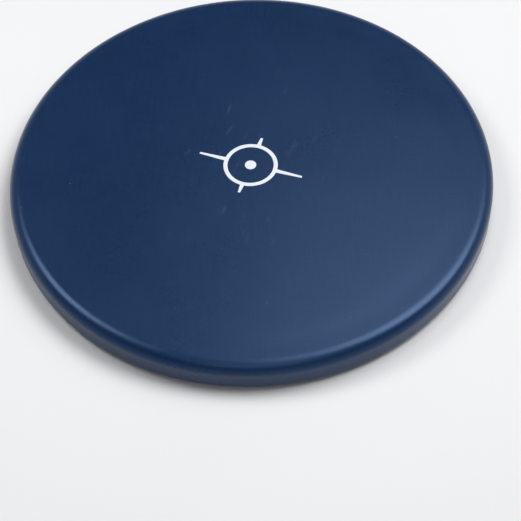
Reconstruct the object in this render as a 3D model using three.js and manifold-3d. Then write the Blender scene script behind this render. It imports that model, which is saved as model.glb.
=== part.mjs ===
// A round gel practice pad for a 14-inch drum, built up from the pieces that it comes apart into.
// Millimetres, +Z up. The origin is at the centre of the underside, where the pad rests.
// Stack from the bottom: closed-cell foam base, board, barrier film, gel slab inside a soft edge
// ring, and one woven cover that is pulled over all of it and stapled under the board.

import * as THREE from 'three';
import { mergeVertices } from 'three/addons/utils/BufferGeometryUtils.js';
import Module from 'manifold-3d';

// ---- driving dimensions -------------------------------------------------------------------

const PAD_RADIUS = 177.8;        // 14 in across, so that it drops inside the drum's hoop
const PAD_HEIGHT = 25.4;         // 1 in from the drumhead to the playing surface
const GAP = 0.2;                 // air between neighbouring pieces
const ROUND_SIDES = 72;          // flats around each turned piece

const COVER_THICKNESS = 0.9;
const SHOULDER_WIDTH = 9.6;      // roll of the cover from the playing surface to the side
const SHOULDER_DEPTH = 8;
const HEEL_RADIUS = 2.2;         // roll of the cover from the side to the underside
const HEM_WIDTH = 24;            // cover turned in under the board

const BASE_RADIUS = 149;
const BASE_HEIGHT = 5;
const BASE_CHAMFER = 0.8;

const BOARD_HEIGHT = 10;
const EDGE_RING_WIDTH = 18;
const FILM_THICKNESS = 0.3;

const STAPLE_COUNT = 36;
const STAPLE_RING_RADIUS = 166;
const STAPLE_CROWN = 10;         // width over the two legs
const STAPLE_LEG = 6;            // depth below the crown
const STAPLE_WIRE = [0.6, 1.1];  // wire thickness and width
const STAPLE_CLEARANCE = 0.3;

const MARK_TURN = -20;           // degrees about +Z
const MARK_LIFT = 0.05;
const MARK_THICKNESS = 0.15;
const MARK_DOT_RADIUS = 4.2;
const MARK_RING_RADIUS = 18.5;
const MARK_RING_WIDTH = 3;
const MARK_TICK_WIDTH = 3.4;     // at the ring; a tick narrows to half of this at its end
const MARK_LONG_TICK_END = 39.5;
const MARK_SHORT_TICK_END = 27;

// ---- levels and radii that follow from them -------------------------------------------------

const boardBottom = BASE_HEIGHT;
const boardTop = boardBottom + BOARD_HEIGHT;
const coverUnderside = PAD_HEIGHT - COVER_THICKNESS;
const fillingTop = coverUnderside - GAP;
const hemTop = boardBottom - GAP;
const hemBottom = hemTop - COVER_THICKNESS;
const hemInnerRadius = PAD_RADIUS - HEM_WIDTH;
const coverInnerRadius = PAD_RADIUS - COVER_THICKNESS;
const fillingRadius = coverInnerRadius - GAP;
const gelRadius = fillingRadius - EDGE_RING_WIDTH - GAP;

const wasm = await Module();
wasm.setup();

// ---- helpers --------------------------------------------------------------------------------

// Points on part of a circle, as (radius, height) pairs of a turned profile. Its centre is a pair
// too, and a rise of its own makes it part of an ellipse.
function arcPoints([centreRadius, centreHeight], reach, [startDegrees, endDegrees], steps, rise = reach) {
  return Array.from({ length: steps + 1 }, (_, step) => {
    const angle = THREE.MathUtils.degToRad(startDegrees + ((endDegrees - startDegrees) * step) / steps);
    return [centreRadius + reach * Math.cos(angle), centreHeight + rise * Math.sin(angle)];
  });
}

// Turns a profile of (radius, height) pairs, listed from the bottom up on the outside, about +Z.
function turned(profile) {
  const points = profile.map(([radius, height]) => new THREE.Vector2(radius, height));
  return new THREE.LatheGeometry(points, ROUND_SIDES).rotateX(Math.PI / 2);
}

// Raises a flat outline by a height.
function raised(shape, height, curveSegments = 12) {
  return new THREE.ExtrudeGeometry(shape, { depth: height, bevelEnabled: false, curveSegments });
}

function toSolid(geometry) {
  const bare = geometry.clone();
  bare.deleteAttribute('normal');
  bare.deleteAttribute('uv');
  const merged = mergeVertices(bare, 1e-4);
  const corners = merged.index.array;
  const kept = [];
  for (let first = 0; first < corners.length; first += 3) {
    const [a, b, c] = corners.slice(first, first + 3);
    if (a !== b && b !== c && c !== a) kept.push(a, b, c);
  }
  const vertProperties = new Float32Array(merged.attributes.position.array);
  return new wasm.Manifold(new wasm.Mesh({ numProp: 3, vertProperties, triVerts: new Uint32Array(kept) }));
}

function toGeometry(solid) {
  const mesh = solid.getMesh();
  const geometry = new THREE.BufferGeometry();
  geometry.setAttribute('position', new THREE.BufferAttribute(mesh.vertProperties, 3));
  geometry.setIndex(new THREE.BufferAttribute(mesh.triVerts, 1));
  geometry.computeVertexNormals();
  return geometry;
}

function joined(geometries) {
  return toGeometry(geometries.map(toSolid).reduce((sum, solid) => sum.add(solid)));
}

function cutBy(geometry, cutters) {
  return toGeometry(cutters.map(toSolid).reduce((rest, cutter) => rest.subtract(cutter), toSolid(geometry)));
}

// Copies a geometry to every staple's place: on a circle, crown along the circle, legs up.
function aroundHem(makeGeometry) {
  return Array.from({ length: STAPLE_COUNT }, (_, index) =>
    makeGeometry()
      .translate(0, -STAPLE_RING_RADIUS, 0)
      .rotateZ((index + 0.5) * ((2 * Math.PI) / STAPLE_COUNT)));
}

// The pad's rolled shoulder, or the same roll set in by an inset, as pairs of a turned profile.
function shoulderPoints(inset, degrees, steps) {
  const centre = [PAD_RADIUS - SHOULDER_WIDTH, PAD_HEIGHT - SHOULDER_DEPTH];
  return arcPoints(centre, SHOULDER_WIDTH - inset, degrees, steps, SHOULDER_DEPTH - inset);
}

// The cover's rolled heel, in the same way.
function heelPoints(inset, degrees) {
  return arcPoints([PAD_RADIUS - HEEL_RADIUS, hemBottom + HEEL_RADIUS], HEEL_RADIUS - inset, degrees, 3);
}

// ---- pieces ---------------------------------------------------------------------------------

function foamBase() {
  return turned([
    [0, 0],
    [BASE_RADIUS - BASE_CHAMFER, 0],
    [BASE_RADIUS, BASE_CHAMFER],
    [BASE_RADIUS, boardBottom - GAP],
    [0, boardBottom - GAP],
  ]);
}

// The board's lower edge is rounded over, so that the cover doesn't cut through on it.
function boardBlank() {
  const heel = HEEL_RADIUS - COVER_THICKNESS;
  return turned([
    [0, boardBottom],
    ...arcPoints([fillingRadius - heel, boardBottom + heel], heel, [-90, 0], 3),
    [fillingRadius, boardTop],
    [0, boardTop],
  ]);
}

// One open pocket for each staple leg, wider than the wire by the clearance all round.
function legPockets() {
  const [thickness, width] = STAPLE_WIRE.map((side) => side + 2 * STAPLE_CLEARANCE);
  const legOffset = (STAPLE_CROWN - STAPLE_WIRE[0]) / 2;
  const floor = hemBottom - 1;
  const roof = hemBottom + STAPLE_LEG + STAPLE_CLEARANCE;
  return [-legOffset, legOffset].flatMap((offset) =>
    aroundHem(() => new THREE.BoxGeometry(thickness, width, roof - floor)
      .translate(offset, 0, (roof + floor) / 2)));
}

function board() {
  return cutBy(boardBlank(), legPockets());
}

function barrierFilm() {
  const bottom = boardTop + GAP / 4;
  return turned([
    [0, bottom],
    [gelRadius, bottom],
    [gelRadius, bottom + FILM_THICKNESS],
    [0, bottom + FILM_THICKNESS],
  ]);
}

function gelSlab() {
  const bottom = boardTop + FILM_THICKNESS + GAP / 2;
  const edge = 1.5;
  return turned([
    [0, bottom],
    [gelRadius, bottom],
    ...arcPoints([gelRadius - edge, fillingTop - edge], edge, [0, 90], 2),
    [0, fillingTop],
  ]);
}

// A soft ring with a square inner wall that holds the gel and a rolled outer shoulder.
function edgeRing() {
  const inner = fillingRadius - EDGE_RING_WIDTH;
  const bottom = boardTop + GAP / 4;
  return turned([
    [inner, bottom],
    [fillingRadius, bottom],
    ...shoulderPoints(COVER_THICKNESS + GAP, [0, 90], 5),
    [inner, fillingTop],
    [inner, bottom],
  ]);
}

// One skin: across the top, over the shoulder, down the side, round the heel and in under the board.
function coverBlank() {
  const outside = [
    [hemInnerRadius, hemBottom],
    ...heelPoints(0, [-90, 0]),
    ...shoulderPoints(0, [0, 90], 6),
    [0, PAD_HEIGHT],
  ];
  const inside = [
    [0, coverUnderside],
    ...shoulderPoints(COVER_THICKNESS, [90, 0], 6),
    ...heelPoints(COVER_THICKNESS, [0, -90]),
    [hemInnerRadius, hemTop],
  ];
  // The profile starts and ends on the axis: inside surface, hem edge, then outside surface.
  return turned([...inside, ...outside]);
}

function playingCover() {
  return cutBy(coverBlank(), legPockets());
}

// A wire bent square: a crown under the hem and two legs up into the board.
function staple() {
  const [thickness, width] = STAPLE_WIRE;
  const half = STAPLE_CROWN / 2;
  const outline = new THREE.Shape([
    [-half, -thickness], [half, -thickness], [half, STAPLE_LEG], [half - thickness, STAPLE_LEG],
    [half - thickness, 0], [-half + thickness, 0], [-half + thickness, STAPLE_LEG], [-half, STAPLE_LEG],
  ].map(([across, up]) => new THREE.Vector2(across, up)));
  return raised(outline, width)
    .translate(0, 0, -width / 2)
    .rotateX(Math.PI / 2)
    .translate(0, 0, hemBottom - GAP / 4);
}

// Puts a flat print on the middle of the playing surface, at its turn.
function printed(geometry) {
  return geometry
    .rotateZ(THREE.MathUtils.degToRad(MARK_TURN))
    .translate(0, 0, PAD_HEIGHT + MARK_LIFT);
}

// A ring with four tapered ticks that point outwards from it, two long and two short.
function printedRing() {
  const band = new THREE.Shape().absarc(0, 0, MARK_RING_RADIUS + MARK_RING_WIDTH / 2, 0, 2 * Math.PI);
  band.holes.push(new THREE.Path().absarc(0, 0, MARK_RING_RADIUS - MARK_RING_WIDTH / 2, 0, 2 * Math.PI));
  const ticks = [0, 1, 2, 3].map((quarter) => {
    const reach = quarter % 2 === 0 ? MARK_LONG_TICK_END : MARK_SHORT_TICK_END;
    return new THREE.Shape([
      [MARK_RING_RADIUS, -MARK_TICK_WIDTH / 2], [reach, -MARK_TICK_WIDTH / 4],
      [reach, MARK_TICK_WIDTH / 4], [MARK_RING_RADIUS, MARK_TICK_WIDTH / 2],
    ].map(([along, across]) =>
      new THREE.Vector2(along, across).rotateAround(new THREE.Vector2(), (quarter * Math.PI) / 2)));
  });
  return printed(joined([band, ...ticks].map((outline) => raised(outline, MARK_THICKNESS, 32))));
}

function printedDot() {
  const outline = new THREE.Shape().absarc(0, 0, MARK_DOT_RADIUS, 0, 2 * Math.PI);
  return printed(raised(outline, MARK_THICKNESS, 16));
}

// ---- assembly -------------------------------------------------------------------------------

function piece(name, geometry, color, roughness, metalness = 0) {
  const mesh = new THREE.Mesh(geometry, new THREE.MeshStandardMaterial({ color, roughness, metalness }));
  mesh.name = name;
  return mesh;
}

const pad = new THREE.Group();
pad.name = 'practice_pad';
pad.add(
  piece('foam_base', foamBase(), 0x1d1f22, 0.9),
  piece('core_board', board(), 0x9a7750, 0.85),
  piece('barrier_film', barrierFilm(), 0xc9d3d8, 0.25),
  piece('gel_slab', gelSlab(), 0x4f86c6, 0.2),
  piece('edge_ring', edgeRing(), 0x34373b, 0.8),
  piece('playing_cover', playingCover(), 0x2a3b5c, 0.45),
  piece('printed_ring', printedRing(), 0xe9eaea, 0.5),
  piece('printed_dot', printedDot(), 0xe9eaea, 0.5),
  ...aroundHem(staple).map((geometry, index) =>
    piece(`hem_staple_${String(index + 1).padStart(2, '0')}`, geometry, 0xb4b6b8, 0.35, 1)),
);

export default pad;
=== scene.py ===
# %% [markdown]
# # A gel practice pad for a 14-inch drum
# A drummer lays this pad on a snare drum to practise quietly. It is a disc of soft gel on a stiff
# board, and one woven cover is pulled tight over both. The CAD model fixes every size and place.
# This script makes the cloth, the foam and the print that the eye sees, and leaves the rest where
# it is. Everything is in metres, with +Z up and the underside of the pad at z = 0.

# %% Load the frame
from math import cos, pi, radians, sin, tau

import bpy
import numpy as np
from mathutils import Matrix, Vector


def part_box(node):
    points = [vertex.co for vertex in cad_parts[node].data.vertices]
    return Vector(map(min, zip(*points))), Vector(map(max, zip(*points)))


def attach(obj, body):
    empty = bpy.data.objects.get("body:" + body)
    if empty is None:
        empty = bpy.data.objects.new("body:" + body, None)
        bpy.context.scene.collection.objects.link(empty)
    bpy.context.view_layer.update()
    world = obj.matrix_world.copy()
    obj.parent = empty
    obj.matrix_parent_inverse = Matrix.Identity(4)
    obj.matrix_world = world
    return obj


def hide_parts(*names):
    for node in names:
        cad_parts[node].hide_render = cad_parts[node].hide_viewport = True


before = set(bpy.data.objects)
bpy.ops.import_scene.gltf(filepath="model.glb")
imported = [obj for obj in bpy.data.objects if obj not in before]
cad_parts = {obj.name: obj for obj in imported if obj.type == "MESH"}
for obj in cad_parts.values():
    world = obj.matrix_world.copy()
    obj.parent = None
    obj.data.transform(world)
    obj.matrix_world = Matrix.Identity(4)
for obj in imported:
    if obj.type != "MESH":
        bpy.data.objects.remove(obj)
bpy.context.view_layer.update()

MM = 0.001


def in_mm(*lengths):
    """Lengths in millimetres, rounded for printing."""
    return [round(float(length) / MM, 2) for length in lengths]


# %% [markdown]
# ## The camera
# The pad is looked at from a player's height, steeply down, with a long lens that keeps the circle
# close to a true ellipse. The head of the camera leans a little, so the right side of the pad rises.
# It could be placed by eye in the viewport, but a few named numbers are easier to change later.

# %% Place the camera
CAMERA_ELEVATION = radians(53.8)
CAMERA_DISTANCE = 1.064
CAMERA_TARGET = Vector((0.0045, -0.0688, 0.0))
CAMERA_LEAN = radians(-2.27)
CAMERA_LENS = 102.0

camera_data = bpy.data.cameras.new("camera")
camera_data.lens = CAMERA_LENS
camera = bpy.data.objects.new("camera", camera_data)
bpy.context.scene.collection.objects.link(camera)
backward = Vector((0.0, -cos(CAMERA_ELEVATION), sin(CAMERA_ELEVATION)))
camera.rotation_mode = "QUATERNION"
lean = Matrix.Rotation(CAMERA_LEAN, 4, "Z").to_quaternion()
camera.rotation_quaternion = (-backward).to_track_quat("-Z", "Y") @ lean
camera.location = CAMERA_TARGET + backward * CAMERA_DISTANCE
bpy.context.scene.camera = camera
print("camera stands at", [round(v, 3) for v in camera.location])

# %% [markdown]
# ## Sizes from the frame
# The cover follows the CAD cover: the same radius, height, shoulder and hem. The box of a node gives
# its radius and its heights, so that no size is typed twice.

# %% Read the sizes
cover_low, cover_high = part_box("playing_cover")
board_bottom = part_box("core_board")[0].z
foam_low, foam_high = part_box("foam_base")
pad_radius = cover_high.x
pad_top = cover_high.z
hem_bottom = cover_low.z
cloth_thickness = 0.9 * MM
shoulder_width, shoulder_depth = 9.6 * MM, 8.0 * MM
heel_radius = 2.2 * MM
hem_width = 24.0 * MM
print("pad radius, top and hem in mm:", in_mm(pad_radius, pad_top, hem_bottom))

# %% [markdown]
# ## A mesh from a grid of points
# Every new piece here is a sheet of points in rows and columns. A round piece closes on itself: the
# last column meets the first. The corners of all faces are worked out as one array of numbers, and
# Blender takes the arrays whole, which is much faster than adding one face at a time.

# %% Grid helpers
def grid_faces(rows, columns, closed=False):
    """Corners of the four-sided faces of a grid whose last column joins its first. Rows that run
    outwards or down the outside give faces that look outwards. closed joins the last row to the
    first as well."""
    row, column = np.meshgrid(np.arange(rows - 1 + closed), np.arange(columns), indexing="ij")
    here, below, beside = row * columns, (row + 1) % rows * columns, (column + 1) % columns
    corners = (below + column, below + beside, here + beside, here + column)
    return np.stack(corners, axis=-1).reshape(-1, 4)


def grid_piece(name, points, first_pole=None, last_pole=None, closed=False):
    """A new object from a grid of points. A pole is a single point that closes the first or the last
    row with a fan of triangles."""
    rows, columns = points.shape[:2]
    faces = grid_faces(rows, columns, closed).tolist()
    flat = points.reshape(-1, 3)
    around = np.arange(columns)
    if first_pole is not None:
        pole = np.full(columns, len(flat))
        faces += np.stack([around, np.roll(around, -1), pole], -1).tolist()
        flat = np.concatenate([flat, [first_pole]])
    if last_pole is not None:
        pole, last = np.full(columns, len(flat)), around + (rows - 1) * columns
        faces += np.stack([np.roll(last, -1), last, pole], -1).tolist()
        flat = np.concatenate([flat, [last_pole]])
    mesh = bpy.data.meshes.new(name)
    mesh.from_pydata(flat, [], faces)
    mesh.shade_smooth()
    piece = bpy.data.objects.new(name, mesh)
    bpy.context.scene.collection.objects.link(piece)
    return piece


def coordinates(piece):
    """The points of a mesh as rows of x, y, z."""
    flat = np.empty(len(piece.data.vertices) * 3, np.float32)
    piece.data.vertices.foreach_get("co", flat)
    return flat.reshape(-1, 3).astype(float)


def move_points(piece, points):
    """Puts changed points back into a mesh."""
    piece.data.vertices.foreach_set("co", points.astype(np.float32).ravel())
    piece.data.update()


def smoothstep(low, high, value):
    """0 below low, 1 above high, and an S-shaped rise between them."""
    share = np.clip((value - low) / (high - low), 0.0, 1.0)
    return share * share * (3.0 - 2.0 * share)


print("a grid of 3 rows and 4 columns has", len(grid_faces(3, 4)), "faces")

# %% [markdown]
# ## The lie of the playing surface
# Gel poured into a ring never sets dead flat. It lies a hair low beside the ring, where it shrank as
# it set, and it swells and dips by tenths of a millimetre across the middle. The print has to follow
# the same surface, so its height is one function that both pieces call.

# %% Height of the playing surface
rng = np.random.default_rng(14)
SWELL_COUNT = 9
SWELL_HEIGHT = 0.10 * MM
swell_direction = rng.uniform(0.0, tau, SWELL_COUNT)
swell_phase = rng.uniform(0.0, tau, SWELL_COUNT)
swell_length = rng.uniform(70.0, 170.0, SWELL_COUNT) * MM
VALLEY_RADIUS = 159.0 * MM
VALLEY_WIDTH = 7.0 * MM
VALLEY_DEPTH = 0.16 * MM


def playing_height(x, y):
    """Pad top, less a bell-shaped valley round the ring, plus the mean of a few long plane waves
    that fade out towards the shoulder."""
    radius = np.hypot(x, y)
    valley = VALLEY_DEPTH * np.exp(-(((radius - VALLEY_RADIUS) / VALLEY_WIDTH) ** 2))
    across = x[..., None] * np.cos(swell_direction) + y[..., None] * np.sin(swell_direction)
    waves = np.sin(across * tau / swell_length + swell_phase).mean(axis=-1) * 3.0
    fade = 1.0 - smoothstep(0.80 * pad_radius, 0.93 * pad_radius, radius)
    return pad_top - valley + SWELL_HEIGHT * waves * fade


sample = playing_height(*np.meshgrid(np.linspace(-0.15, 0.15, 61), np.linspace(-0.15, 0.15, 61)))
print("surface runs between, in mm:", in_mm(sample.min(), sample.max()))

# %% [markdown]
# ## The cover before it is pulled tight
# The cover is one round piece of cloth. It runs across the top, over the shoulder, down the side,
# round the heel, and in under the board as a hem. A lathe would give the shape, but not the folds:
# cloth turned in under a disc has too much edge for the smaller circle, so it gathers. The profile is
# carried round as a grid here, and folds are added that grow from nothing on the side to a full
# ruffle at the hem's raw edge. Beside a staple they are pressed flat.

# %% Profile of the cover
COLUMNS = 432


def arc(centre, across, up, start, end, count):
    """Points on part of an ellipse in the plane of radius and height, without the first one: its
    centre, plus the cosine of an angle times its reach across, and the sine times its reach up."""
    angle = np.radians(np.linspace(start, end, count + 1))[1:]
    return np.array(centre) + np.stack([across * np.cos(angle), up * np.sin(angle)], -1)


def line(start, end, count):
    """Evenly spaced points from start to end, without the first one."""
    return np.linspace(start, end, count + 1)[1:]


shoulder_centre = (pad_radius - shoulder_width, pad_top - shoulder_depth)
heel_centre = (pad_radius - heel_radius, hem_bottom + heel_radius)
flat_radii = shoulder_centre[0] * np.linspace(0.0, 1.0, 27)[1:] ** 0.8
top_rows = len(flat_radii)
profile = np.concatenate([
    np.stack([flat_radii, np.full(top_rows, pad_top)], -1),
    arc(shoulder_centre, shoulder_width, shoulder_depth, 90, 0, 16),
    line((pad_radius, shoulder_centre[1]), (pad_radius, heel_centre[1]), 10),
    arc(heel_centre, heel_radius, heel_radius, 0, -90, 5),
    line((heel_centre[0], hem_bottom), (pad_radius - hem_width, hem_bottom), 13),
])
steps = np.hypot(*np.diff(profile, axis=0, prepend=[[0.0, pad_top]]).T)
cloth_reach = np.cumsum(steps)
print("rows:", len(profile), "radius of the flat cloth in mm:", in_mm(cloth_reach[-1]))

# %% Directions that the profile faces
tangent = np.gradient(profile, axis=0)
tangent /= np.linalg.norm(tangent, axis=1, keepdims=True)
facing = np.stack([-tangent[:, 1], tangent[:, 0]], -1)
facing[: top_rows - 1] = (0.0, 1.0)
print("the side faces", facing[top_rows + 18].round(2), "and the hem", facing[-1].round(2))

# %% Folds of the hem
FOLD_COUNT = 72
SIDE_FOLD = 0.16 * MM
HEM_FOLD = 0.95 * MM
STAPLE_PRESS = 5.5 * MM

turn = np.arange(COLUMNS) * tau / COLUMNS
wander = sum(rng.uniform(0.3, 0.9) * np.sin(k * turn + rng.uniform(0.0, tau)) for k in (3, 5, 8, 13))
unevenness = 0.7 + 0.3 * np.sin(11 * turn + rng.uniform(0.0, tau)) * np.sin(7 * turn)
ridge = (0.5 + 0.5 * np.sin(FOLD_COUNT * turn + wander)) ** 1.5 * unevenness
staple_names = sorted(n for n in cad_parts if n.startswith("hem_staple"))
staple_places = np.array([(sum(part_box(n), Vector()) / 2).xy for n in staple_names])


def staple_nearness(x, y):
    """1 at a staple, falling off as a bell with the distance to the nearest one."""
    apart_x, apart_y = x[..., None] - staple_places[:, 0], y[..., None] - staple_places[:, 1]
    nearest = np.hypot(apart_x, apart_y).min(axis=-1)
    return np.exp(-((nearest / STAPLE_PRESS) ** 2))


print(len(staple_names), "staples, at a radius in mm of", in_mm(np.hypot(*staple_places[0])))

# %% Points and mesh of the cover
def cover_points():
    """Profile carried round the axis, then pushed out along its facing by the fold's height, which
    rises in two S-curves, down the side and in across the hem."""
    radius = np.broadcast_to(profile[:, :1], (len(profile), COLUMNS))
    height = np.broadcast_to(profile[:, 1:], (len(profile), COLUMNS)).copy()
    x, y = radius * np.cos(turn), radius * np.sin(turn)
    height[:top_rows] = playing_height(x[:top_rows], y[:top_rows])
    down_side = smoothstep(pad_top - 12 * MM, hem_bottom + heel_radius, profile[:, 1])
    in_hem = smoothstep(cloth_reach[-1] - hem_width, cloth_reach[-1], cloth_reach)
    size = SIDE_FOLD * down_side + HEM_FOLD * in_hem
    push = size[:, None] * ridge * (1.0 - staple_nearness(x, y) * (height < board_bottom))
    out, up = facing[:, :1] * push, facing[:, 1:] * push
    return np.stack([x + out * np.cos(turn), y + out * np.sin(turn), height + up], -1)


middle_height = float(playing_height(np.zeros(1), np.zeros(1))[0])
cover = grid_piece("woven_cover", cover_points(), first_pole=(0.0, 0.0, middle_height))
print("cover:", len(cover.data.vertices), "points,", len(cover.data.polygons), "faces")

# %% [markdown]
# ## Pulling the cover tight
# The folds above are drawn by a formula, and look it. A short cloth simulation makes the cover sit
# as cloth does: the gel holds it flat across the top, each staple holds it at the hem, and a little
# pressure fills it out between them. How far a point may move is capped, so that the cover stays
# beside the ring, the board and the staples.

# %% Simulate the cover
SIMULATION_FRAMES = 20
PRESSURE = 4.0
MOST_MOVED = 0.9 * MM


def held_share(points):
    """How firmly each point is held, from 0 to 1: the top inside the shoulder, and beside staples."""
    radius = np.hypot(points[:, 0], points[:, 1])
    on_top = points[:, 2] > pad_top - 1.0 * MM
    top_hold = on_top * (1.0 - smoothstep(0.945 * pad_radius, 0.985 * pad_radius, radius))
    under = points[:, 2] < board_bottom
    return np.maximum(top_hold, under * staple_nearness(points[:, 0], points[:, 1]))


def simulate_cover(piece):
    """Runs the cloth with pressure and no gravity, and keeps each point's move up to the cap."""
    rest = coordinates(piece)
    group = piece.vertex_groups.new(name="held")
    share = held_share(rest).round(2)
    for level in np.unique(share[share > 0]):
        group.add(np.flatnonzero(share == level).tolist(), float(level), "REPLACE")
    modifier = piece.modifiers.new("cloth", "CLOTH")
    settings = modifier.settings
    settings.quality = 5
    settings.mass = 0.35
    settings.tension_stiffness = settings.compression_stiffness = 25.0
    settings.shear_stiffness = 8.0
    settings.bending_stiffness = 0.8
    settings.vertex_group_mass = "held"
    settings.use_pressure = True
    settings.uniform_pressure_force = PRESSURE
    settings.effector_weights.gravity = 0.0
    modifier.collision_settings.use_collision = False
    modifier.point_cache.frame_start, modifier.point_cache.frame_end = 1, SIMULATION_FRAMES
    for number in range(1, SIMULATION_FRAMES + 1):
        bpy.context.scene.frame_set(number)
    settled = piece.evaluated_get(bpy.context.evaluated_depsgraph_get()).to_mesh()
    moved = np.empty(len(settled.vertices) * 3, np.float32)
    settled.vertices.foreach_get("co", moved)
    move = moved.reshape(-1, 3) - rest
    length = np.linalg.norm(move, axis=1, keepdims=True)
    cap = np.minimum(1.0, MOST_MOVED / np.maximum(length, 1e-9))
    piece.modifiers.remove(modifier)
    piece.vertex_groups.clear()
    move_points(piece, rest + move * cap)
    bpy.context.scene.frame_set(1)
    return length.ravel()


moved_by = simulate_cover(cover)
print("median and greatest move in mm:", in_mm(np.median(moved_by), moved_by.max()))

# %% [markdown]
# ## The thickness and the thread directions of the cloth
# The cover needs a second face, 0.9 mm inside the first, and a raw edge at the hem: a Solidify
# modifier adds both. The weave must follow the cloth over the shoulder and down the side. So each
# point also stores where it lay on the flat round piece before it was turned in, as a UV map.

# %% Thread coordinates and thickness
def add_flat_map(piece, flat):
    """Stores each point's place on the flat cloth, in metres, on every corner of every face."""
    layer = piece.data.uv_layers.new(name="flat_cloth")
    corner_points = np.empty(len(piece.data.loops), np.int32)
    piece.data.loops.foreach_get("vertex_index", corner_points)
    layer.data.foreach_set("uv", flat[corner_points].astype(np.float32).ravel())


spokes = np.stack([np.cos(turn), np.sin(turn)], -1)
flat_places = (cloth_reach[:, None, None] * spokes[None]).reshape(-1, 2)
add_flat_map(cover, np.concatenate([flat_places, [[0.0, 0.0]]]))
thickness = cover.modifiers.new("cloth thickness", "SOLIDIFY")
thickness.thickness = cloth_thickness
thickness.offset = -1.0
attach(cover, "root")
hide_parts("playing_cover")
print("cover spans, in mm:", in_mm(*cover.dimensions))

# %% [markdown]
# ## The print
# The mark is white ink, pressed through a screen: a ring with four ticks and a dot. Ink lies on the
# cloth in a layer as thin as paper, with soft edges. It could be painted in the cloth's material, but
# a real layer keeps its edge crisp at any distance. The ring and its ticks make one outline whose
# radius is a function of the angle, so a single grid between two radii holds the whole shape.

# %% Place of the print
dot_low, dot_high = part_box("printed_dot")
print_centre = ((dot_low + dot_high) / 2).xy
dot_radius = (dot_high.x - dot_low.x) / 2
PRINT_TURN = radians(-20)
INK_LIFT = 0.03 * MM
INK_THICKNESS = 0.12 * MM
RING_MIDDLE = 18.5 * MM
RING_WIDTH = 3.0 * MM
TICK_HALF_WIDTH = 1.7 * MM
LONG_REACH, SHORT_REACH = 39.5 * MM, 27.0 * MM
print("print centre and dot radius in mm:", in_mm(*print_centre, dot_radius))

# %% Outline of the ring with its ticks
def tick_edge(angle, reach):
    """Radius of a tapered tick's outline at an angle from its middle line: its two straight sides,
    which close in to half their width at the end, cut off by its straight end."""
    narrowing = TICK_HALF_WIDTH / 2 / (reach - RING_MIDDLE)
    width_at_centre = TICK_HALF_WIDTH + narrowing * RING_MIDDLE
    side = width_at_centre / (np.abs(np.sin(angle)) + narrowing * np.cos(angle))
    return np.minimum(side, reach / np.cos(angle))


def ring_outline(angle):
    """Outer radius of the print: the ring's own, or the tick's where that reaches further out."""
    quarter = np.round(angle / (tau / 4))
    reach = np.where(quarter % 2 == 0, LONG_REACH, SHORT_REACH)
    return np.maximum(RING_MIDDLE + RING_WIDTH / 2, tick_edge(angle - quarter * tau / 4, reach))


def print_angles():
    """Angles round the print, set close together at each tick and further apart between them."""
    near = np.radians(np.linspace(-6.5, 6.5, 53))
    far = np.radians(np.linspace(8.0, 82.0, 38))
    quarter = np.concatenate([near, far])
    return np.concatenate([quarter + k * tau / 4 for k in range(4)])


def ink_sheet(name, inner, outer, angles, rows, node, pole=False):
    """A sheet of ink between two radii, laid on the playing surface. Its rows crowd towards the
    edges, where its height falls to nothing."""
    share = 0.5 - 0.5 * np.cos(np.linspace(0.0, pi, rows))[:, None]
    radius = inner + (outer - inner) * share
    x = print_centre.x + radius * np.cos(angles + PRINT_TURN)
    y = print_centre.y + radius * np.sin(angles + PRINT_TURN)
    edge = np.minimum(1.0, 6.0 * (1.0 - share if pole else np.minimum(share, 1.0 - share)))
    points = np.stack([x, y, playing_height(x, y) + INK_LIFT + INK_THICKNESS * edge], -1)
    piece = grid_piece(name, points, first_pole=points[0].mean(axis=0) if pole else None)
    thickness = piece.modifiers.new("ink thickness", "SOLIDIFY")
    thickness.thickness = INK_THICKNESS / 2
    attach(piece, "root")
    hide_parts(node)
    return piece


ring_angles = print_angles()
ring_inner, ring_outer = RING_MIDDLE - RING_WIDTH / 2, ring_outline(ring_angles)
ring_print = ink_sheet("strike_ring", ring_inner, ring_outer, ring_angles, 13, "printed_ring")
dot_angles = np.arange(64) * tau / 64
dot_outer = np.full(64, dot_radius)
dot_print = ink_sheet("strike_dot", dot_radius / 9, dot_outer, dot_angles, 9, "printed_dot", pole=True)
print("ink faces:", len(ring_print.data.polygons), "and", len(dot_print.data.polygons))

# %% [markdown]
# ## What lies under the cover
# Taken apart, the pad shows a slab of blue gel, the soft ring round it, a clear film, the board, and
# the foam that rests on the drum. All but the board are turned shapes. The CAD solids have flats
# round their edge, so finer copies of them are turned here from a profile of radius and height.

# %% Turned pieces
ROUND = 240


def turned_piece(name, outline, wobble=0.0, closed=False):
    """Carries an outline round the axis. wobble makes the radius rise and fall a little on the way
    round, as a hand-fed cutter does, and closed is for an outline that is a loop."""
    angle = np.arange(ROUND) * tau / ROUND
    rough = sum(np.sin(k * angle + rng.uniform(0.0, tau)) / k for k in (5, 9, 17, 31, 47))
    outline = np.array(outline)
    radius = outline[:, :1] + wobble * rough * (outline[:, :1] > 0.5 * outline[:, 0].max())
    height = np.broadcast_to(outline[:, 1:], radius.shape)
    points = np.stack([radius * np.cos(angle), radius * np.sin(angle), height], -1)
    if closed:
        return grid_piece(name, points, closed=True)
    return grid_piece(name, points, (0.0, 0.0, outline[0, 1]), (0.0, 0.0, outline[-1, 1]))


def soft_disc(name, radius, low, high, corner, wobble):
    """A disc with rounded corners: its outline runs out over the top, down the edge and back in."""
    outline = np.concatenate([
        line((radius * 0.04, high), (radius - corner, high), 12),
        arc((radius - corner, high - corner), corner, corner, 90, 0, 5),
        line((radius, high - corner), (radius, low + corner), 3),
        arc((radius - corner, low + corner), corner, corner, 0, -90, 5),
        line((radius - corner, low), (radius * 0.04, low), 12),
    ])
    return turned_piece(name, outline, wobble)


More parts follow.
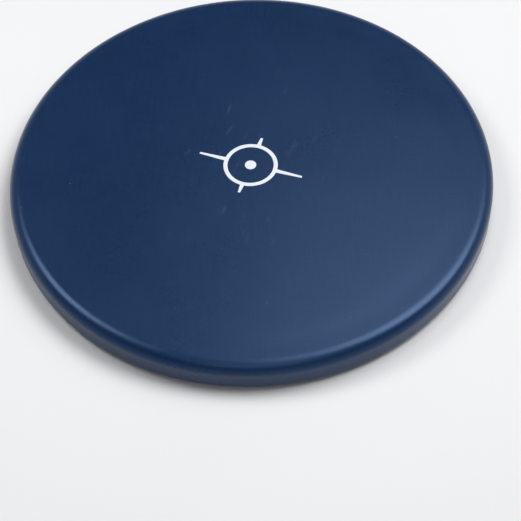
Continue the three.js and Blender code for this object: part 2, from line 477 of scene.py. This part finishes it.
def finish_piece(piece, node):
    """Rides the piece on the pad, in place of its CAD node."""
    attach(piece, "root")
    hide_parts(node)


gel_low, gel_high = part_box("gel_slab")
film_low, film_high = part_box("barrier_film")
roll_low, roll_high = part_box("edge_ring")
foam = soft_disc("rest_foam", foam_high.x, foam_low.z, foam_high.z, 0.7 * MM, 0.12 * MM)
finish_piece(foam, "foam_base")
film = soft_disc("clear_film", film_high.x, film_low.z, film_high.z, 0.1 * MM, 0.05 * MM)
finish_piece(film, "barrier_film")
print("foam and film thickness in mm:", in_mm(foam.dimensions.z, film.dimensions.z))

# %% Gel slab and edge ring
MENISCUS = 0.25 * MM


def gel_outline():
    """Top of the gel, a hair low beside the ring, then its rounded edge, side and flat underside."""
    corner = 1.5 * MM
    radii = np.linspace(0.04, 1.0, 24)[:, None] * (gel_high.x - corner)
    dip = MENISCUS * smoothstep(0.9 * gel_high.x, gel_high.x, radii)
    return np.concatenate([
        np.concatenate([radii, gel_high.z - MENISCUS - dip], -1),
        arc((gel_high.x - corner, gel_high.z - 2 * MENISCUS - corner), corner, corner, 90, 0, 6),
        line((gel_high.x, gel_high.z - 2 * MENISCUS - corner), (gel_high.x, gel_low.z), 4),
        line((gel_high.x, gel_low.z), (gel_high.x * 0.04, gel_low.z), 12),
    ])


def ring_section():
    """Cross-section of the edge ring as a loop: top, rolled shoulder, side, underside, inner wall."""
    set_in = cloth_thickness + 0.2 * MM
    wide, deep = shoulder_width - set_in, shoulder_depth - set_in
    inner, outer = gel_high.x + 0.2 * MM, roll_high.x
    return np.concatenate([
        line((inner, roll_high.z - 0.4 * MM), (outer - wide, roll_high.z), 5),
        arc((outer - wide, roll_high.z - deep), wide, deep, 90, 0, 12),
        line((outer, roll_high.z - deep), (outer, roll_low.z), 3),
        line((outer, roll_low.z), (inner, roll_low.z), 5),
        line((inner, roll_low.z), (inner, roll_high.z - 0.4 * MM), 5),
    ])


gel = turned_piece("gel_pour", gel_outline())
finish_piece(gel, "gel_slab")
roll = turned_piece("edge_roll", ring_section(), closed=True)
finish_piece(roll, "edge_ring")
print("gel and ring depth in mm:", in_mm(gel.dimensions.z, roll.dimensions.z))

# %% Round the staple wire
for name in staple_names:
    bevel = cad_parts[name].modifiers.new("drawn wire", "BEVEL")
    bevel.width = 0.14 * MM
    bevel.segments = 2
print("rounded", len(staple_names), "staples")

# %% [markdown]
# ## Arithmetic on shader sockets
# A finish is mostly sums: a thread is a rounded wave, a scuff is a noise cut off at a level. Drawn as
# nodes, such sums are long chains of Math boxes. Written in Python they read like what they are, so
# one small class lets + - * / stand for the Math nodes. Every other node comes from one method.

# %% Wires
class Wire:
    """An output socket that can be used in a sum: each operator adds one Math node."""

    def __init__(self, recipe, socket):
        self.recipe, self.socket = recipe, socket

    def math(self, operation, *values):
        return self.recipe.node("ShaderNodeMath", {"operation": operation}, dict(enumerate(values)))

    def __add__(self, other):
        return self.math("ADD", self, other)

    def __sub__(self, other):
        return self.math("SUBTRACT", self, other)

    def __rsub__(self, other):
        return self.math("SUBTRACT", other, self)

    def __mul__(self, other):
        return self.math("MULTIPLY", self, other)

    def __truediv__(self, other):
        return self.math("DIVIDE", self, other)

    def __rtruediv__(self, other):
        return self.math("DIVIDE", other, self)

    def __abs__(self):
        return self.math("ABSOLUTE", self)

    __radd__, __rmul__ = __add__, __mul__

    def wave(self):
        """The sine of this value."""
        return self.math("SINE", self)

    def between(self, low, high):
        """0 below low, 1 above high, and an S-shaped rise between them."""
        settings = {"clamp": True, "interpolation_type": "SMOOTHSTEP"}
        inputs = {"Value": self, "From Min": low, "From Max": high}
        return self.recipe.node("ShaderNodeMapRange", settings, inputs)


print("a wire has", sum(callable(part) for part in vars(Wire).values()), "methods")


# %% Recipes
class Recipe:
    """A node tree, and the one shader that its wires are fed to."""

    def __init__(self, tree, shader):
        self.tree, self.shader = tree, tree.nodes[shader]

    def node(self, kind, settings=None, inputs=None, output=0):
        """Adds a node: its settings first, then the values or wires of its sockets."""
        made = self.tree.nodes.new(kind)
        for key, value in (settings or {}).items():
            setattr(made, key, value)
        for key, value in (inputs or {}).items():
            if isinstance(value, Wire):
                self.tree.links.new(value.socket, made.inputs[key])
            else:
                made.inputs[key].default_value = value
        return Wire(self, made.outputs[output])

    def axis(self, vector, name):
        """One number of a vector: X, Y or Z."""
        return self.node("ShaderNodeSeparateXYZ", None, {"Vector": vector}, output=name)

    def feed(self, **sockets):
        """Links what changes over the surface to the shader."""
        for socket, wire in sockets.items():
            self.tree.links.new(wire.socket, self.shader.inputs[socket.replace("_", " ")])


print("a recipe has", sum(callable(part) for part in vars(Recipe).values()), "methods")


# %% Finishes
class Finish(Recipe):
    """A material with a Principled shader. Its constants are set straight on the sockets."""

    def __init__(self, name, **constants):
        self.material = bpy.data.materials.new(name)
        self.material.use_nodes = True
        super().__init__(self.material.node_tree, "Principled BSDF")
        for socket, value in constants.items():
            self.shader.inputs[socket.replace("_", " ")].default_value = value

    def done(self, **sockets):
        """Feeds the shader and hands over the material."""
        self.feed(**sockets)
        return self.material

    def place(self):
        """Object coordinates, in metres."""
        return self.node("ShaderNodeTexCoord", output="Object")

    def flat_cloth(self):
        """The place on the flat cloth, in metres."""
        return self.node("ShaderNodeUVMap", {"uv_map": "flat_cloth"})

    def stretched(self, vector, scale, angle=0.0):
        """Coordinates multiplied along each axis, turned first by an angle about +Z."""
        turned = self.node("ShaderNodeMapping", None, {"Vector": vector, "Rotation": (0.0, 0.0, angle)})
        return self.node("ShaderNodeVectorMath", {"operation": "MULTIPLY"}, {0: turned, 1: scale})

    def noise(self, vector, scale, detail=2.0, roughness=0.5):
        """Soft cloudy noise, near 0.5 on average, with scale features to the metre."""
        inputs = {"Vector": vector, "Scale": scale, "Detail": detail, "Roughness": roughness}
        return self.node("ShaderNodeTexNoise", None, inputs)

    def cells(self, vector, scale):
        """Distance to the nearest of many scattered points, scale of them to the metre."""
        return self.node("ShaderNodeTexVoronoi", None, {"Vector": vector, "Scale": scale})

    def blend(self, share, first, second):
        """A colour between two, at a share from 0 to 1. Each is a colour or a wire that carries one."""
        settings = {"data_type": "RGBA", "clamp_factor": True}
        return self.node("ShaderNodeMix", settings, {0: share, 6: first, 7: second}, output=2)

    def bump(self, height, distance):
        """A normal from a height between 0 and 1, that stands for a real depth in metres."""
        return self.node("ShaderNodeBump", None, {"Height": height, "Distance": distance})


def rgb(red, green, blue):
    """A colour with full cover."""
    return (red, green, blue, 1.0)


print("a finish adds", sum(callable(part) for part in vars(Finish).values()), "methods")

# %% [markdown]
# ## Coated blue cloth
# The cover is a plain weave of thin threads, half a millimetre apart, with a thin satin coating.
# From a step away the threads can't be told apart: what the eye gets is a soft, slightly uneven
# sheen, thicker threads here and there, and faint grey marks where sticks land. A scanned swatch of
# cloth could be wrapped on, but it would repeat and blur; waves and noise along the threads don't.

# %% Weave
THREAD = 0.52 * MM


def weave(finish, flat):
    """Height of a plain weave from 0 to 1: two sets of round threads, the product of two waves, and
    a checker, the product of the same waves with their signs, that lifts each in turn."""
    across = (finish.axis(flat, "X") * (pi / THREAD)).wave()
    along = (finish.axis(flat, "Y") * (pi / THREAD)).wave()
    return abs(across * along) * 0.6 + across * along * 0.2 + 0.2


def slubs(finish, flat):
    """Thicker and thinner threads: noise drawn out along one thread direction, plus the same along
    the other."""
    warp = finish.noise(finish.stretched(flat, (1.0, 0.045, 1.0)), 900.0)
    weft = finish.noise(finish.stretched(flat, (0.045, 1.0, 1.0)), 1000.0)
    return (warp + weft) / 2


print("threads to the metre:", round(1 / THREAD))


# %% Cloth finish
def coated_cloth():
    """Blue coated weave for the cover."""
    finish = Finish("coated blue cloth", IOR=1.55, Specular_Tint=rgb(0.38, 0.60, 1.0))
    flat, place = finish.flat_cloth(), finish.place()
    threads, uneven = weave(finish, flat), slubs(finish, flat)
    cloud = finish.noise(place, 13.0, detail=3.0).between(0.3, 0.7)
    grain = finish.noise(place, 420.0, detail=3.0, roughness=0.65)
    colour = finish.blend(cloud, rgb(0.0040, 0.0182, 0.060), rgb(0.0060, 0.0212, 0.066))
    colour = finish.blend(uneven.between(0.42, 0.62) * 0.35, colour, rgb(0.011, 0.036, 0.095))
    # Painted shade: the cloth is darker down in the valleys between the threads, where they shade each
    # other.
    colour = finish.blend((1 - threads) * 0.25, colour, rgb(0.002, 0.011, 0.032))
    radius = finish.node("ShaderNodeVectorMath", {"operation": "LENGTH"}, {0: place}, output="Value")
    struck = 1 - radius.between(0.03, 0.125)
    drawn_out = finish.stretched(place, (1.0, 0.35, 1.0), radians(24))
    marks = finish.noise(drawn_out, 160.0, detail=4.0, roughness=0.6)
    scuff = marks.between(0.60, 0.74) * struck
    colour = finish.blend(scuff * 0.16, colour, rgb(0.12, 0.15, 0.20))
    specks = finish.cells(finish.stretched(place, (1.0, 0.5, 1.0), radians(50)), 75.0)
    lint = 1 - specks.between(0.010, 0.026)
    colour = finish.blend(lint * 0.4, colour, rgb(0.30, 0.34, 0.40))
    roughness = 0.255 + 0.02 * cloud + 0.04 * grain + 0.05 * scuff
    relief = finish.bump(threads * 0.6 + uneven * 0.8 + grain * 0.06, 0.035 * MM)
    return finish.done(Base_Color=colour, Roughness=roughness, Normal=relief)


cover.data.materials.append(coated_cloth())
print("cover wears", cover.data.materials[0].name)

# %% [markdown]
# ## White ink
# Screen ink fills the valleys of the weave but not all of them, so the threads still show through,
# and the first places to wear are their crowns. It is mixed from white, a painted shade of grey down
# in the valleys of the weave, and the cloth's blue where it has gone.

# %% Ink
def screen_ink():
    """Semi-matte white ink that the weave shows through, with painted shade greying its valleys."""
    finish = Finish("white screen ink", IOR=1.5)
    place = finish.place()
    threads = weave(finish, place)
    worn = finish.noise(place, 900.0, detail=4.0, roughness=0.7).between(0.57, 0.70)
    patchy = finish.noise(place, 60.0, detail=2.0).between(0.45, 0.75)
    # Painted shade: the ink is greyer down in the valleys of the weave.
    colour = finish.blend((1 - threads) * 0.45, rgb(0.72, 0.74, 0.77), rgb(0.40, 0.46, 0.56))
    colour = finish.blend(worn * (0.25 + 0.6 * patchy), colour, rgb(0.05, 0.09, 0.18))
    relief = finish.bump(threads + worn * 0.5, 0.03 * MM)
    return finish.done(Base_Color=colour, Roughness=0.46 + 0.18 * patchy, Normal=relief)


ink = screen_ink()
for piece in (ring_print, dot_print):
    piece.data.materials.append(ink)
print("ink on", ring_print.name, "and", dot_print.name)

# %% [markdown]
# ## Foam, gel, film, board and wire
# Closed-cell foam shows its bubbles as a fine pebble, so scattered cells make its bump. The gel is
# clear and blue, with small bubbles caught in it. The board is pressed wood fibre: short hairs in
# every direction, and darker layers seen on the sawn edge. The staples are zinc on steel wire, with
# marks drawn along the wire.

# %% Foam and gel finishes
def closed_cell_foam(name, dark, light, cell, dullness):
    """Foam rubber: cells of a size in metres, a fine skin over them, and dusty patches."""
    finish = Finish(name, IOR=1.45)
    place = finish.place()
    pebble = finish.cells(place, 1.0 / cell)
    fine = finish.noise(place, 2.6 / cell, detail=2.0)
    dust = finish.noise(place, 22.0, detail=4.0, roughness=0.6).between(0.42, 0.72)
    colour = finish.blend(pebble.between(0.1, 0.75) * 0.6 + fine * 0.3, dark, light)
    colour = finish.blend(dust * 0.22, colour, rgb(0.10, 0.10, 0.105))
    relief = finish.bump(pebble + fine * 0.4, cell * 0.12)
    return finish.done(Base_Color=colour, Roughness=dullness + 0.14 * dust + 0.08 * fine, Normal=relief)


def blue_gel():
    """Soft clear gel: light passes through it, and small bubbles dimple its face."""
    clear = {"Transmission_Weight": 0.55, "Coat_Weight": 0.6, "Coat_Roughness": 0.06}
    finish = Finish("blue gel", IOR=1.41, **clear)
    place = finish.place()
    depth = finish.noise(place, 30.0, detail=2.0)
    bubble = 1 - finish.cells(place, 260.0).between(0.05, 0.22)
    colour = finish.blend(depth.between(0.3, 0.7), rgb(0.06, 0.22, 0.56), rgb(0.10, 0.30, 0.66))
    colour = finish.blend(bubble * 0.5, colour, rgb(0.45, 0.62, 0.85))
    relief = finish.bump(bubble + depth, 0.08 * MM)
    return finish.done(Base_Color=colour, Roughness=0.10 + 0.10 * depth, Normal=relief)


def thin_film():
    """Clear film that lets most light through, with soft ripples from the roll that it came off."""
    finish = Finish("clear film", IOR=1.5, Transmission_Weight=0.85)
    place = finish.place()
    ripple = finish.noise(finish.stretched(place, (1.0, 0.12, 1.0), radians(8)), 55.0)
    colour = finish.blend(ripple, rgb(0.60, 0.68, 0.72), rgb(0.74, 0.80, 0.83))
    relief = finish.bump(ripple, 0.15 * MM)
    return finish.done(Base_Color=colour, Roughness=0.12 + 0.14 * ripple, Normal=relief)


black, near_black = rgb(0.008, 0.009, 0.011), rgb(0.030, 0.032, 0.036)
charcoal, ash = rgb(0.022, 0.024, 0.028), rgb(0.055, 0.060, 0.068)
foam.data.materials.append(closed_cell_foam("black foam", black, near_black, 0.9 * MM, 0.62))
roll.data.materials.append(closed_cell_foam("charcoal foam", charcoal, ash, 0.6 * MM, 0.70))
gel.data.materials.append(blue_gel())
film.data.materials.append(thin_film())
print("foam, ring, gel and film are finished")


# %% Board and staples
def fibreboard():
    """Pressed wood fibre: hairs along and across, specks of bark, and layers by height."""
    finish = Finish("pressed fibreboard", IOR=1.45)
    place = finish.place()
    hairs = finish.noise(finish.stretched(place, (1.0, 0.12, 1.0), radians(31)), 1100.0, detail=3.0)
    cross = finish.noise(finish.stretched(place, (0.12, 1.0, 1.0), radians(12)), 950.0, detail=3.0)
    layer = finish.noise(finish.stretched(place, (0.05, 0.05, 1.0)), 1300.0)
    speck = 1 - finish.cells(place, 330.0).between(0.08, 0.20)
    fibre = (hairs + cross + layer) / 3
    colour = finish.blend(fibre.between(0.36, 0.64), rgb(0.20, 0.105, 0.045), rgb(0.42, 0.26, 0.13))
    colour = finish.blend(speck * 0.5, colour, rgb(0.09, 0.045, 0.02))
    relief = finish.bump(fibre, 0.10 * MM)
    return finish.done(Base_Color=colour, Roughness=0.70 + 0.2 * fibre, Normal=relief)


def zinc_wire():
    """Galvanised steel wire: fine marks along it, and duller blooms of zinc."""
    finish = Finish("galvanised wire", Metallic=1.0)
    place = finish.place()
    bloom = finish.noise(place, 700.0, detail=3.0).between(0.35, 0.7)
    drawn = finish.noise(place, 5200.0, detail=2.0)
    colour = finish.blend(bloom, rgb(0.50, 0.50, 0.51), rgb(0.34, 0.35, 0.37))
    roughness = 0.26 + 0.22 * bloom + 0.08 * drawn
    return finish.done(Base_Color=colour, Roughness=roughness, Normal=finish.bump(drawn, 0.01 * MM))


def repaint(node, material):
    """Gives a CAD node a better finish in its object's own slots."""
    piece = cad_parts[node]
    if not piece.material_slots:
        piece.data.materials.append(material)
    for slot in piece.material_slots:
        slot.link = "OBJECT"
        slot.material = material


repaint("core_board", fibreboard())
wire = zinc_wire()
for name in staple_names:
    repaint(name, wire)
print("board and", len(staple_names), "staples are finished")

# %% [markdown]
# ## Floor and light
# A pale floor and soft lamps stand in for a studio. Most of the light comes from high on the right:
# daylight from far off, and a window close by that whitens the near right of the pad. They leave the
# far left a deep blue, and draw the bright line along the shoulder, as a smaller window does on the
# left. A single overhead lamp would light the cloth as well, but would draw no line on the shoulder.

# %% Floor
FLOOR_REACH = 9.0


def pale_floor():
    """Matte pale floor with a hardly visible cloudiness."""
    finish = Finish("pale floor", IOR=1.3)
    cloud = finish.noise(finish.place(), 3.0, detail=3.0)
    colour = finish.blend(cloud, rgb(0.70, 0.70, 0.71), rgb(0.74, 0.74, 0.75))
    return finish.done(Base_Color=colour, Roughness=0.75 + 0.1 * cloud)


corners = np.array([[-1, -1], [1, -1], [1, 1], [-1, 1]]) * FLOOR_REACH
floor_mesh = bpy.data.meshes.new("floor")
floor_mesh.from_pydata(np.column_stack([corners, np.zeros(4)]), [], [(0, 1, 2, 3)])
floor = bpy.data.objects.new("floor", floor_mesh)
bpy.context.scene.collection.objects.link(floor)
floor.data.materials.append(pale_floor())
print("floor is", 2 * FLOOR_REACH, "m square")

# %% Lights
def toward(azimuth, elevation, distance):
    """A point at an azimuth in degrees, from +Y round towards +X, and an elevation in degrees."""
    level = cos(radians(elevation)) * distance
    height = sin(radians(elevation)) * distance
    return Vector((sin(radians(azimuth)) * level, cos(radians(azimuth)) * level, height))


def pad_light(name, kind, place, **settings):
    """A light at a place, turned to face the middle of the pad."""
    data = bpy.data.lights.new(name, kind)
    for key, value in settings.items():
        setattr(data, key, value)
    light = bpy.data.objects.new(name, data)
    light.location = place
    light.rotation_mode = "QUATERNION"
    light.rotation_quaternion = (-place).to_track_quat("-Z", "Y")
    bpy.context.scene.collection.objects.link(light)


pad_light("daylight", "SUN", toward(75, 55, 1.0), energy=1.1, angle=radians(30))
pad_light("right window", "AREA", toward(72, 56, 1.25), energy=5.0, size=0.9)
pad_light("left window", "AREA", toward(-72, 54, 1.25), energy=5.6, size=0.5)
pad_light("far lamp", "AREA", toward(20, 62, 1.25), energy=1.5, size=0.5)
pad_light("overhead lamp", "AREA", toward(90, 75, 0.8), energy=1.6, size=0.4)
pad_light("front fill", "AREA", toward(180, 62, 1.5), energy=2.4, size=0.9)
print("lights:", len(bpy.data.lights))


# %% Sky
def studio_sky(low, high):
    """Pale walls and a dark ceiling: the sky's strength falls from the horizon to overhead."""
    world = bpy.data.worlds.new("studio")
    world.use_nodes = True
    sky = Recipe(world.node_tree, "Background")
    sky.shader.inputs["Color"].default_value = rgb(0.95, 0.97, 1.0)
    height = sky.axis(sky.node("ShaderNodeTexCoord", output="Generated"), "Z")
    share = height.between(sin(radians(14)), sin(radians(34)))
    sky.feed(Strength=low + (high - low) * share)
    return world


bpy.context.scene.world = studio_sky(0.6, 0.04)
bpy.context.scene.view_settings.view_transform = "Standard"
print("sky:", bpy.context.scene.world.name)

# %% [markdown]
